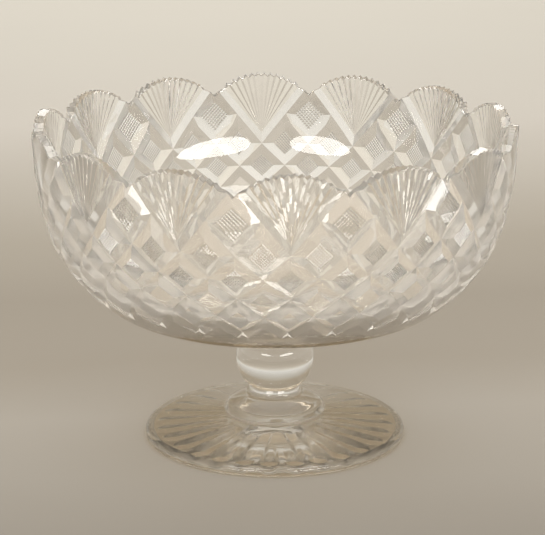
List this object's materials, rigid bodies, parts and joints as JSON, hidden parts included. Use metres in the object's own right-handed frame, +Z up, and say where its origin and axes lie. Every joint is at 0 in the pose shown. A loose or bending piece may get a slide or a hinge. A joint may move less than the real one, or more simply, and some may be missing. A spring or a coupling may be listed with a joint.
{
  "type": "punch bowl",
  "caption": "Footed punch bowl in clear cut glass: a deep round bowl with a scalloped fan-cut rim over diamond cutting, on a ball knop, a domed collar and a round foot fluted beneath.",
  "frame": {"origin": "middle of the foot's underside, on the surface that the bowl stands on", "axes": "+Z up along the axis of the bowl and stem; -Y runs through the middle of one rim fan"},
  "size_m": [0.2988, 0.3, 0.205],
  "materials": {
    "cut_crystal": "clear lead crystal, wheel-cut outside and fire-polished inside",
    "stem_crystal": "clear lead crystal, fire-polished",
    "foot_crystal": "clear lead crystal, fire-polished on top and cut with flutes beneath"
  },
  "bodies": {
    "root": {"bowl": "cut_crystal", "bowl_seal": "stem_crystal", "ball_knop": "stem_crystal", "foot_collar": "stem_crystal", "foot": "foot_crystal"}
  },
  "joints": []
}
